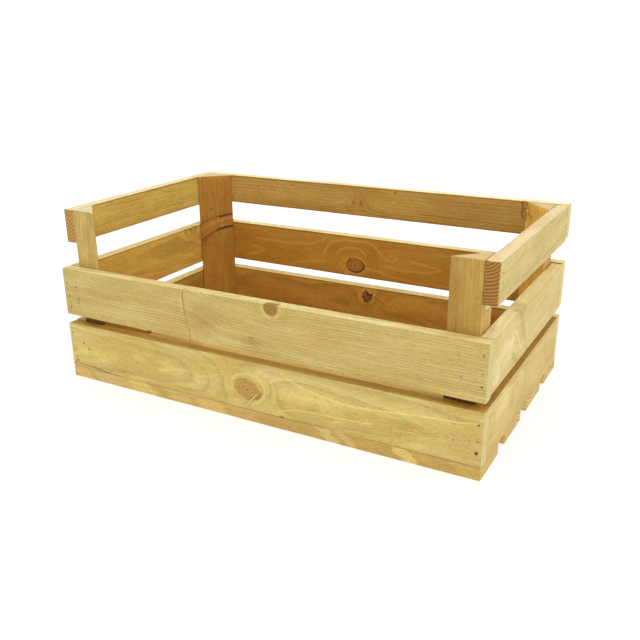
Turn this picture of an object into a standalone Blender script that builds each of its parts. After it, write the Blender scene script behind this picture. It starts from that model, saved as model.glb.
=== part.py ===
"""Wooden apple crate: nineteen sawn softwood boards and posts, nailed together.

Frame: origin on the ground at the middle of the base, +X along the crate's length (to the right as seen
from the front), -Y towards the lowered front, +Z up. Units are metres.

The four floor boards run lengthwise under the walls. The front and back slats are full length and lap over the
ends of the end slats. A three-cornered post stands in each corner, and every slat is nailed to it.
"""
import bmesh
import bpy
from math import cos, pi, radians, sin

from mathutils import Vector

for leftover in list(bpy.data.objects):
    bpy.data.objects.remove(leftover, do_unlink=True)

MM = 0.001

# Driving dimensions
LENGTH = 600 * MM
WIDTH = 348 * MM
BOARD_THICKNESS = 16 * MM
FRONT_POST_LEG = 38 * MM
BACK_POST_LEG = 41.5 * MM        # the back posts were cut from a slightly larger square
JOINT_GAP = 0.3 * MM            # between pieces that touch
EASED_EDGE = 0.7 * MM           # small chamfer along every board edge

NAIL_LENGTH = 30 * MM
NAIL_SHANK_RADIUS = 0.9 * MM
NAIL_HEAD_RADIUS = 1.9 * MM
NAIL_HEAD_DEPTH = 0.9 * MM
NAIL_POINT_LENGTH = 2.5 * MM
NAIL_SIDES = 10
CUTTER_OVERRUN = 2 * MM         # how far a nail hole's cutter stands out of the board

HALF_LENGTH = LENGTH / 2
HALF_WIDTH = WIDTH / 2
WALL_FOOT = BOARD_THICKNESS + JOINT_GAP
INNER_CORNER = BOARD_THICKNESS + JOINT_GAP
END_SLAT_LENGTH = WIDTH - 2 * INNER_CORNER

# Wall boards. The boards are sawn and set by hand, so no two edges are quite level. Each wall board has its
# lower and upper edge height in millimetres at its start, then at its end. Front and back boards start at the
# left, end boards start at the front. None stands for the top of the floor boards.
FRONT_WALL = {
    "front_slat_lower": ((None, 81.0), (None, 82.7)),
    "front_slat_upper": ((94.3, 160.5), (93.0, 161.0)),
}
BACK_WALL = {
    "back_slat_lower": ((None, 84.0), (None, 82.5)),
    "back_slat_upper": ((99.5, 163.0), (96.0, 161.0)),
    "back_top_rail": ((196.5, 241.0), (194.5, 241.0)),
}
LEFT_WALL = {
    "left_slat_lower": ((None, 82.0), (None, 83.0)),
    "left_slat_upper": ((96.0, 161.0), (98.0, 162.0)),
    "left_top_rail": ((193.5, 239.0), (195.0, 241.0)),
}
RIGHT_WALL = {
    "right_slat_lower": ((None, 82.5), (None, 82.0)),
    "right_slat_upper": ((96.0, 161.0), (95.0, 159.5)),
    "right_top_rail": ((195.5, 243.0), (191.5, 240.5)),
}

# Floor boards: distance of the front edge from the crate's front face, and the width, in millimetres.
FLOOR = {
    "floor_board_front": (0, 66),
    "floor_board_mid_front": (93, 69),
    "floor_board_mid_back": (190, 70),
    "floor_board_back": (283, 65),
}

# Corner posts: which corner, the quarter turns that point the square corner outwards, and the top's height.
POSTS = {
    "post_front_left": (-1, -1, 0, 239.0),
    "post_front_right": (1, -1, 1, 243.0),
    "post_back_right": (1, 1, 2, 240.5),
    "post_back_left": (-1, 1, 3, 240.8),
}

# Nails driven through the front slats: distance in from the slat's end, then height, in millimetres. The outer
# row goes into the end grain of the end slats, and the inner row goes into the post.
FRONT_NAILS = {
    "nail_front_left_upper": (-1, ((6.5, 139.5), (8.5, 122), (8.5, 105.5), (23.5, 136), (24.5, 118.5))),
    "nail_front_right_upper": (1, ((6, 147), (6, 125.5), (6, 111.5), (33, 142), (29, 117.5))),
    "nail_front_left_lower": (-1, ((5, 67), (25, 54), (33.5, 46.5), (8, 31))),
    "nail_front_right_lower": (1, ((6, 67), (6, 47), (6.5, 33), (33, 62), (33, 42.5))),
}

# Nails driven through the right end's boards into the posts: distance from the crate's front face, then height.
RIGHT_NAILS = {
    "nail_right_front_rail": ((28, 229), (30.5, 217)),
    "nail_right_back_rail": ((322, 230.5), (321, 214)),
    "nail_right_front_upper": ((29, 142.5), (24, 114.5)),
    "nail_right_back_upper": ((318, 138.5), (321.5, 122)),
    "nail_right_front_lower": ((23.5, 61.5), (29, 42)),
    "nail_right_back_lower": ((325.5, 50), (323, 35.5)),
}

FRONT_COLOUR = (0.60, 0.45, 0.17, 1)
INNER_COLOUR = (0.50, 0.34, 0.12, 1)
POST_COLOUR = (0.55, 0.38, 0.14, 1)
FLOOR_COLOUR = (0.57, 0.41, 0.15, 1)
STEEL_COLOUR = (0.34, 0.32, 0.29, 1)


def material(name, colour, roughness, metallic=0.0):
    """A plain Principled material."""
    made = bpy.data.materials.new(name)
    made.use_nodes = True
    shader = made.node_tree.nodes["Principled BSDF"]
    shader.inputs["Base Color"].default_value = colour
    shader.inputs["Roughness"].default_value = roughness
    shader.inputs["Metallic"].default_value = metallic
    return made


def place(name, shape, colour, location, turn=0.0, roughness=0.62, metallic=0.0):
    """Make a named object with its own material from a bmesh, and place it."""
    mesh = bpy.data.meshes.new(name)
    bmesh.ops.recalc_face_normals(shape, faces=shape.faces)
    shape.to_mesh(mesh)
    shape.free()
    piece = bpy.data.objects.new(name, mesh)
    piece.location = location
    piece.rotation_euler.z = turn
    mesh.materials.append(material(name, colour, roughness, metallic))
    bpy.context.collection.objects.link(piece)
    return piece


def ease_edges(shape):
    """Chamfer every edge of a board a little, as sawn boards are once handled."""
    bmesh.ops.bevel(shape, geom=shape.edges[:], offset=EASED_EDGE, segments=1, affect='EDGES')


def board(name, length, thickness, edges, colour, location, turn=0.0):
    """A board along its own X. edges holds the lower and upper edge heights at its start and at its end."""
    shape = bmesh.new()
    corners = []
    for x, (low, high) in zip((-length / 2, length / 2), edges):
        for y in (-thickness / 2, thickness / 2):
            corners.append([shape.verts.new((x, y, low)), shape.verts.new((x, y, high))])
    start_outer, start_inner, end_outer, end_inner = corners
    rings = (start_outer, start_inner, end_inner, end_outer)
    for here, there in zip(rings, rings[1:] + rings[:1]):
        shape.faces.new((here[0], there[0], there[1], here[1]))
    shape.faces.new([ring[0] for ring in rings])
    shape.faces.new([ring[1] for ring in rings])
    ease_edges(shape)
    return place(name, shape, colour, location, turn)


def wall(boards, length, colour, location, turn=0.0):
    """One wall's boards, stacked above the floor with gaps between them."""
    for name, heights in boards.items():
        edges = [(WALL_FOOT if low is None else low * MM, high * MM) for low, high in heights]
        board(name, length, BOARD_THICKNESS, edges, colour, location, turn)


def floor_board(name, front_edge, width):
    """A floor board that runs the whole length of the crate and carries the walls."""
    middle = -HALF_WIDTH + front_edge + width / 2
    board(name, LENGTH, width, [(0, BOARD_THICKNESS)] * 2, FLOOR_COLOUR, (0, middle, 0))


def post(name, side, end, leg, quarter_turns, top):
    """A three-cornered post: its two legs lie on the slats and its sawn slope faces into the crate."""
    shape = bmesh.new()
    rings = []
    for height in (WALL_FOOT, top):
        outline = ((0, 0), (leg, 0), (0, leg))
        rings.append([shape.verts.new((x, y, height)) for x, y in outline])
    lower, upper = rings
    for i in range(3):
        j = (i + 1) % 3
        shape.faces.new((lower[i], lower[j], upper[j], upper[i]))
    shape.faces.new(lower)
    shape.faces.new(upper)
    ease_edges(shape)
    corner = (side * (HALF_LENGTH - INNER_CORNER), end * (HALF_WIDTH - INNER_CORNER), 0)
    return place(name, shape, POST_COLOUR, corner, quarter_turns * pi / 2)


def turned(profile):
    """A solid of revolution about Z from (radius, height) pairs that start and end on the axis."""
    shape = bmesh.new()
    rings = []
    for radius, height in profile:
        if radius == 0:
            rings.append([shape.verts.new((0, 0, height))])
            continue
        angles = [2 * pi * i / NAIL_SIDES for i in range(NAIL_SIDES)]
        rings.append([shape.verts.new((radius * cos(a), radius * sin(a), height)) for a in angles])
    for here, there in zip(rings, rings[1:]):
        for i in range(NAIL_SIDES):
            j = (i + 1) % NAIL_SIDES
            quad = (here[i % len(here)], here[j % len(here)], there[j % len(there)], there[i % len(there)])
            shape.faces.new(list(dict.fromkeys(quad)))
    return shape


def nail(name, location, heading):
    """A wire nail with its head flush with the board's face, and the cutter for its hole."""
    turn = Vector((0, 0, 1)).rotation_difference(-Vector(heading)).to_euler()
    profile = (
        (0, 0),
        (NAIL_HEAD_RADIUS, 0),
        (NAIL_HEAD_RADIUS, -NAIL_HEAD_DEPTH),
        (NAIL_SHANK_RADIUS, -NAIL_HEAD_DEPTH),
        (NAIL_SHANK_RADIUS, -NAIL_LENGTH + NAIL_POINT_LENGTH),
        (0, -NAIL_LENGTH),
    )
    piece = place(name, turned(profile), STEEL_COLOUR, location, roughness=0.4, metallic=0.9)
    piece.rotation_euler = turn

    head_radius = NAIL_HEAD_RADIUS + JOINT_GAP
    shank_radius = NAIL_SHANK_RADIUS + JOINT_GAP
    head_seat = -NAIL_HEAD_DEPTH - JOINT_GAP
    hole_end = -NAIL_LENGTH - JOINT_GAP
    hole = (
        (0, CUTTER_OVERRUN),
        (head_radius, CUTTER_OVERRUN),
        (head_radius, head_seat),
        (shank_radius, head_seat),
        (shank_radius, hole_end),
        (0, hole_end),
    )
    cutter = place(name + "_hole", turned(hole), STEEL_COLOUR, location)
    cutter.rotation_euler = turn
    cutter.hide_render = True
    cutter.display_type = 'WIRE'
    return cutter


def drill(piece_name, cutters):
    """Cut the nail holes out of one board or post."""
    for cutter in cutters:
        cut = bpy.data.objects[piece_name].modifiers.new(cutter.name, 'BOOLEAN')
        cut.operation = 'DIFFERENCE'
        cut.solver = 'EXACT'
        cut.object = cutter


def nail_front_slats():
    """Nails along both ends of the two front slats."""
    for group, (side, spots) in FRONT_NAILS.items():
        side_name = "right" if side > 0 else "left"
        course = group.rsplit("_", 1)[1]
        outer, inner = [], []
        for count, (inset, height) in enumerate(spots, start=1):
            spot = (side * (HALF_LENGTH - inset * MM), -HALF_WIDTH, height * MM)
            cutter = nail(f"{group}_{count}", spot, (0, 1, 0))
            reached = outer if inset * MM < BOARD_THICKNESS else inner
            reached.append(cutter)
        drill(f"front_slat_{course}", outer + inner)
        drill(f"{side_name}_slat_{course}", outer)
        drill(f"post_front_{side_name}", inner)


def nail_right_end():
    """Nails through the right end's slats and top rail, two into each post."""
    for group, spots in RIGHT_NAILS.items():
        post_name, course = group.split("_")[2:]
        board_name = "right_top_rail" if course == "rail" else f"right_slat_{course}"
        cutters = []
        for count, (from_front, height) in enumerate(spots, start=1):
            spot = (HALF_LENGTH, -HALF_WIDTH + from_front * MM, height * MM)
            cutters.append(nail(f"{group}_{count}", spot, (-1, 0, 0)))
        drill(board_name, cutters)
        drill(f"post_{post_name}_right", cutters)


for floor_name, (front_edge_mm, width_mm) in FLOOR.items():
    floor_board(floor_name, front_edge_mm * MM, width_mm * MM)

long_wall = HALF_WIDTH - BOARD_THICKNESS / 2
end_wall = HALF_LENGTH - BOARD_THICKNESS / 2
wall(FRONT_WALL, LENGTH, FRONT_COLOUR, (0, -long_wall, 0))
wall(BACK_WALL, LENGTH, INNER_COLOUR, (0, long_wall, 0))
wall(LEFT_WALL, END_SLAT_LENGTH, INNER_COLOUR, (-end_wall, 0, 0), radians(90))
wall(RIGHT_WALL, END_SLAT_LENGTH, FRONT_COLOUR, (end_wall, 0, 0), radians(90))

for post_name, (side_sign, end_sign, turns, top_mm) in POSTS.items():
    leg_length = BACK_POST_LEG if end_sign > 0 else FRONT_POST_LEG
    post(post_name, side_sign, end_sign, leg_length, turns, top_mm * MM)

nail_front_slats()
nail_right_end()
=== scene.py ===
"""The looks of the wooden apple crate: sawn, knotty boards and three-cornered posts, held by wire nails.

Every board and post of the frame is replaced by a detailed mesh in the same place, with a solid wood
material of its own: growth rings round a pith line, knots that push the rings aside, fibres and marks.
Each piece is made in its own frame, in millimetres: +X along the grain, -Y out of the crate and +Z across
the board. A post has its square corner on X and its two square faces towards -Y and -Z.
"""
from dataclasses import dataclass, replace
from math import cos, hypot, pi, radians, sin, sqrt

import bmesh
import bpy
from mathutils import Matrix, Vector, noise


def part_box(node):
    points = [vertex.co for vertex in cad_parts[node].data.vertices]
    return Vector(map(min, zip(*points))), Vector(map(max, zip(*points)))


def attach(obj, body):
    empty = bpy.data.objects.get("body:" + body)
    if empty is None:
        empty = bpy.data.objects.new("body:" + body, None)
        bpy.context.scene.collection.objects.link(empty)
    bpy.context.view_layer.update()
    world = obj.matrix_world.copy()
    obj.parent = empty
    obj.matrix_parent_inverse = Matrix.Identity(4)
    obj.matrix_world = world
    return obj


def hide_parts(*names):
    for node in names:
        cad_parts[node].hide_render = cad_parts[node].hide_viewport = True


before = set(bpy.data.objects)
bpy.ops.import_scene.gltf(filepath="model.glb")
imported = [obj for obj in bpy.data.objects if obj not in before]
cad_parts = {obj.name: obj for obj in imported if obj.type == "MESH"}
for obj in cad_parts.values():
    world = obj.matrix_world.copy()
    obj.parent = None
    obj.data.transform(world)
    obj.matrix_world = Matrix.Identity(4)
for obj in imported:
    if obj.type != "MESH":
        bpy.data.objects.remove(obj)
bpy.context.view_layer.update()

MM = 0.001
WHITE = (1.0, 1.0, 1.0, 1.0)
# Painted shade inside a nail hole, also used for the faint stain round it.
NAIL_HOLE = (66, 44, 20)

# The sides of a board that a mark may show on. On a post, the inner side is the sawn slope.
OUTER, BOTH, INNER = -1, 0, 1

# How far a step of 1 mm across a post's slope goes along each of its legs.
DIAGONAL = 0.7071

# Cycles has room for about this many marks at once, as in_turn tells.
MARKS_AT_ONCE = 6

# ---------------- the marks that wood carries


@dataclass(frozen=True)
class Oval:
    """The middle of a mark, and how far it reaches from there along and across the board, in mm."""
    x: float
    z: float
    wide: float
    high: float


@dataclass(frozen=True)
class Knot(Oval):
    """A branch's stub. push is how far it shoulders the growth rings aside, in mm."""
    push: float = 6.0
    spread: float = 2.1
    tone: float = 0.8
    rim: float = 0.5
    halo: float = 0.5
    ragged: float = 0.34
    pit: float = 0.0
    bands: float = 0.7
    lean: float = 0.0
    colour: tuple = (150, 104, 48)
    glow: tuple = (228, 204, 122)
    side: int = OUTER


@dataclass(frozen=True)
class Swell(Oval):
    """A place where the rings bulge with no knot at the surface."""
    push: float


@dataclass(frozen=True)
class Bend:
    """Where the rings slope across the board, dropping by so many mm between two places along it."""
    start: float
    end: float
    drop: float


@dataclass(frozen=True)
class Vein:
    """A crack, resin line or pale ring edge through a few points."""
    points: tuple
    width: float
    colour: tuple
    strength: float = 0.8
    depth: float = 0.0
    side: int = OUTER
    wobble: float = 1.5


@dataclass(frozen=True)
class Patch(Oval):
    """A ragged, soft-edged oval of another tone."""
    colour: tuple
    strength: float = 0.5
    soft: float = 0.5
    side: int = OUTER


@dataclass(frozen=True)
class Chip(Oval):
    """A bit broken out of an edge or face. Its colour is painted shade in the hollow."""
    depth: float
    side: int = OUTER
    colour: tuple = (46, 34, 18)


@dataclass(frozen=True)
class Dent:
    """The hole that a nail's head was punched into."""
    x: float
    z: float
    radius: float
    depth: float
    side: int = OUTER


@dataclass(frozen=True)
class Wood:
    """How one board was cut from its log, and how its faces are tinted. Lengths are in mm.

    outer, inner, top and bottom are tints, which multiply the colour of the face they name.
    They are painted light and shade: tops lighter as if lit from above, bottoms and inner faces darker and
    browner as if in shade, and the tops of lower slats in the gaps dark brown as painted shade. End grain
    has two colours of its own. stray is how far marks wander along the board on their way through it.
    """
    seed: float
    pith: tuple = (60.0, 0.0)
    spacing: float = 4.0
    taper: float = 0.03
    wander: float = 5.0
    ripple: float = 1.2
    uneven: float = 2.0
    contrast: float = 0.5
    sharp: float = 0.30
    banding: float = 0.05
    base: tuple = (208, 187, 116)
    blotch: tuple = (198, 172, 96)
    warm: tuple = (212, 172, 104)
    line: tuple = (162, 132, 66)
    outer: tuple = (1.0, 1.0, 1.0)
    inner: tuple = (0.76, 0.53, 0.27)
    top: tuple = (1.18, 1.24, 1.40)
    bottom: tuple = (0.9, 0.85, 0.8)
    end: tuple = (214, 196, 138)
    end_line: tuple = (190, 164, 104)
    fibre: float = 0.34
    flecks: float = 0.9
    stray: float = 0.0
    marks: tuple = ()


# ---------------- shader building

def screen(colour):
    """A linear colour from red, green and blue as seen on a screen, 0 to 255."""
    return tuple(((value / 255 + 0.055) / 1.055) ** 2.4 for value in colour) + (1.0,)


def dimmed(colour, share):
    """A linear colour from a share of the colour as seen on a screen."""
    return screen(tuple(value * share for value in colour))


def math_method(operation):
    """A method of Field that adds one math node."""
    return lambda field, *others: field.graph.math(operation, field, *others)


class Field:
    """A number that varies over the surface. Arithmetic on it adds shader nodes."""

    __add__ = math_method("ADD")
    __sub__ = math_method("SUBTRACT")
    __mul__ = math_method("MULTIPLY")
    __truediv__ = math_method("DIVIDE")
    root = math_method("SQRT")
    absolute = math_method("ABSOLUTE")
    floor = math_method("FLOOR")
    fraction = math_method("FRACT")

    def __init__(self, graph, socket):
        self.graph = graph
        self.socket = socket

    def squared(self):
        return self * self

    def decay(self):
        """1 at zero, falling to nothing as the field grows."""
        return self.graph.math("EXPONENT", self * -1.0)

    def clamped(self):
        """The field, held between 0 and 1."""
        same = self + 0.0
        same.socket.node.use_clamp = True
        return same

    def peak(self, middle, width):
        """1 at the middle, falling to nothing on both sides of it."""
        return ((self - middle) / width).squared().decay()

    def rise(self, low, high):
        """0 below low, 1 above high, with a smooth step between."""
        return self.graph.step(self, low, high, 0.0, 1.0)

    def fall(self, low, high):
        """1 below low, 0 above high, with a smooth step between."""
        return self.graph.step(self, low, high, 1.0, 0.0)


class Graph:
    """The nodes of one material, or of one group."""

    def __init__(self, tree):
        self.nodes = tree.nodes
        self.links = tree.links
        self.nodes.clear()

    @classmethod
    def for_material(cls, name):
        material = bpy.data.materials.new(name)
        material.use_nodes = True
        graph = cls(material.node_tree)
        graph.material = material
        return graph

    def feed(self, socket, value):
        """Link a field or a node's output to the socket, or set the socket to a plain value."""
        if isinstance(value, Field):
            value = value.socket
        if isinstance(value, bpy.types.NodeSocket):
            self.links.new(value, socket)
        else:
            socket.default_value = value

    def add(self, kind, **settings):
        node = self.nodes.new(kind)
        for key, value in settings.items():
            setattr(node, key, value)
        return node

    def run(self, node, values):
        """The first output of a node that is given the values in order."""
        for socket, value in zip(node.inputs, values):
            self.feed(socket, value)
        return Field(self, node.outputs[0])

    def math(self, operation, *values):
        return self.run(self.add("ShaderNodeMath", operation=operation), values)

    def step(self, *values):
        return self.run(self.add("ShaderNodeMapRange", interpolation_type="SMOOTHSTEP"), values)

    def call(self, group, *values):
        return self.run(self.add("ShaderNodeGroup", node_tree=group), values)

    def split(self, socket):
        node = self.add("ShaderNodeSeparateXYZ")
        self.links.new(socket, node.inputs[0])
        return [Field(self, out) for out in node.outputs]

    def noise(self, x, y, z, detail=2.0, rough=0.5):
        """Smooth noise from about 0.2 to 0.8, centred on 0.5."""
        joined = self.run(self.add("ShaderNodeCombineXYZ"), (x, y, z))
        node = self.add("ShaderNodeTexNoise")
        self.feed(node.inputs["Vector"], joined)
        node.inputs["Scale"].default_value = 1.0
        node.inputs["Detail"].default_value = detail
        node.inputs["Roughness"].default_value = rough
        return Field(self, node.outputs[0])

    def chance(self, value):
        """A steady random number from 0 to 1 for each whole number."""
        node = self.add("ShaderNodeTexWhiteNoise", noise_dimensions="1D")
        self.feed(node.inputs["W"], value)
        return Field(self, node.outputs["Value"])

    def mix(self, factor, first, second, kind="MIX"):
        """The second colour laid over the first, as far as the factor says."""
        node = self.add("ShaderNodeMix", data_type="RGBA", blend_type=kind, clamp_factor=True)
        factor_socket, first_socket, second_socket = node.inputs[0], node.inputs[6], node.inputs[7]
        self.feed(factor_socket, factor)
        self.feed(first_socket, first)
        self.feed(second_socket, second)
        return node.outputs[2]

    def scaled(self, colour, amount):
        node = self.add("ShaderNodeVectorMath", operation="SCALE")
        self.feed(node.inputs[0], colour)
        self.feed(node.inputs["Scale"], amount)
        return node.outputs[0]

    def browned(self, colour, amount):
        """The colour times the amount. Where that darkens it, it also turns browner."""
        tones = self.add("ShaderNodeCombineXYZ")
        for socket, power in zip(tones.inputs, (1.0, 1.12, 1.5)):
            self.feed(socket, self.math("POWER", amount, power))
        node = self.add("ShaderNodeVectorMath", operation="MULTIPLY")
        self.feed(node.inputs[0], colour)
        self.feed(node.inputs[1], tones.outputs[0])
        return node.outputs[0]

    def finish(self, colour, roughness, height=None, depth=0.3, metallic=0.0, specular=0.35, glow=0.0):
        """The material, with this surface. depth is how many mm a height of 1 stands up in its bump."""
        shader = self.add("ShaderNodeBsdfPrincipled")
        shader.inputs["Emission Color"].default_value = WHITE
        shader.inputs["Emission Strength"].default_value = glow
        self.feed(shader.inputs["Base Color"], colour)
        self.feed(shader.inputs["Roughness"], roughness)
        shader.inputs["Metallic"].default_value = metallic
        shader.inputs["Specular IOR Level"].default_value = specular
        if height is not None:
            bump = self.add("ShaderNodeBump")
            bump.inputs["Strength"].default_value = 0.8
            bump.inputs["Distance"].default_value = depth * MM
            self.feed(bump.inputs["Height"], height)
            self.links.new(bump.outputs[0], shader.inputs["Normal"])
        output = self.add("ShaderNodeOutputMaterial")
        self.links.new(shader.outputs[0], output.inputs[0])
        return self.material


# ---------------- the wood material

def field_group(name, inputs, work_out):
    """A node group that works one field out from some inputs, for use many times over."""
    tree = bpy.data.node_groups.new(name, "ShaderNodeTree")
    for label in inputs:
        tree.interface.new_socket(label, in_out="INPUT", socket_type="NodeSocketFloat")
    tree.interface.new_socket("result", in_out="OUTPUT", socket_type="NodeSocketFloat")
    graph = Graph(tree)
    entry = graph.add("NodeGroupInput")
    given = [Field(graph, entry.outputs[label]) for label in inputs]
    graph.feed(graph.add("NodeGroupOutput").inputs[0], work_out(graph, *given))
    return tree


def off_segment(graph, x, z, start_x, start_z, along_x, along_z):
    """Squared distance from a straight segment."""
    length = along_x.squared() + along_z.squared()
    travel = (((x - start_x) * along_x + (z - start_z) * along_z) / length).clamped()
    return (x - start_x - travel * along_x).squared() + (z - start_z - travel * along_z).squared()


def off_oval(graph, x, z, middle_x, middle_z, wide, high, ragged):
    """Distance from a ragged oval's heart, where 1 is its rim."""
    across = ((x - middle_x) / wide).squared() + ((z - middle_z) / high).squared()
    rough = graph.noise(x * 0.10, z * 0.14, middle_x * 0.37, 2.0) - 0.5
    return (across.root() + rough * ragged).absolute()


def vein_wobble(graph, x, z, spread, start):
    """How far a vein strays sideways, in mm."""
    return (graph.noise(x * 0.11, z * 0.11, start, 3.0) - 0.5) * spread


SEGMENT = field_group("segment", ("x", "z", "start_x", "start_z", "along_x", "along_z"), off_segment)
OVAL = field_group("oval", ("x", "z", "middle_x", "middle_z", "wide", "high", "ragged"), off_oval)
WOBBLE = field_group("wobble", ("x", "z", "spread", "start"), vein_wobble)


def vein_distance(graph, x, z, mark):
    """Distance from a vein's centre line, in mm."""
    wobble = graph.call(WOBBLE, x, z, 2.4 * mark.wobble, mark.width + mark.points[0][0])
    x = x + wobble
    z = z + wobble * 0.6
    nearest = None
    for (x0, z0), (x1, z1) in zip(mark.points, mark.points[1:]):
        off = graph.call(SEGMENT, x, z, x0, z0, x1 - x0, z1 - z0)
        nearest = off if nearest is None else graph.math("MINIMUM", nearest, off)
    return nearest.root()


def oval_distance(graph, x, z, mark, ragged):
    """Distance from an oval mark's heart, where 1 is its rim."""
    lean = getattr(mark, "lean", 0.0)
    if lean:
        z = z + (x - mark.x) * lean
    return graph.call(OVAL, x, z, mark.x, mark.z, mark.wide, mark.high, ragged)


def facing(normals, direction):
    """1 where the surface faces the direction, in the board's frame."""
    parts = [part * share for part, share in zip(normals, direction) if share]
    return sum(parts[1:], parts[0]).rise(0.80, 0.95)


def tinted(graph, colour, mask, tint):
    """The colour, multiplied by the tint where the mask is 1."""
    return graph.mix(mask, colour, graph.mix(1.0, colour, tint + (1.0,), "MULTIPLY"))


def in_turn(x, colour):
    """x, moved by less than a hair according to the colour so far.

    Cycles works out all the marks that it can before it lays any of them on, and has room for only so many.
    This makes it finish the marks before this one first.
    """
    return x + x.graph.math("MULTIPLY", colour, 1e-6)


def late_band(part, start, full):
    """The dark late wood of a ring, where part runs from 0 to 1 through it."""
    return part.rise(start, full) * part.fall(full + 0.03, 1.0)


def ring_radius(graph, x, y, z, spot, seed, wood):
    """Distance from the pith, which wanders along the log, with the detours that knots and swells make."""
    drift_y = (graph.noise(x * 0.0042 + seed, y * 0.006, z * 0.006) - 0.5) * (3 * wood.wander)
    drift_z = (graph.noise(x * 0.0042 + seed, y * 0.006 + 31.0, z * 0.006) - 0.5) * (3 * wood.wander)
    radius = ((y - wood.pith[0] + drift_y).squared() + (z - wood.pith[1] + drift_z).squared()).root()
    radius = radius + x * wood.taper
    radius = radius + (graph.noise(x * 0.022 + seed, y * 0.05, z * 0.055, 3.0) - 0.5) * (3 * wood.ripple)
    for mark in wood.marks:
        if isinstance(mark, Knot):
            away = oval_distance(graph, x, spot, mark, mark.ragged)
            radius = radius + (away / mark.spread).squared().decay() * mark.push
        elif isinstance(mark, Swell):
            off = ((x - mark.x) / mark.wide).squared() + ((spot - mark.z) / mark.high).squared()
            radius = radius + off.decay() * mark.push
        elif isinstance(mark, Bend):
            radius = radius + x.rise(mark.start, mark.end) * mark.drop
    return radius


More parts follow.
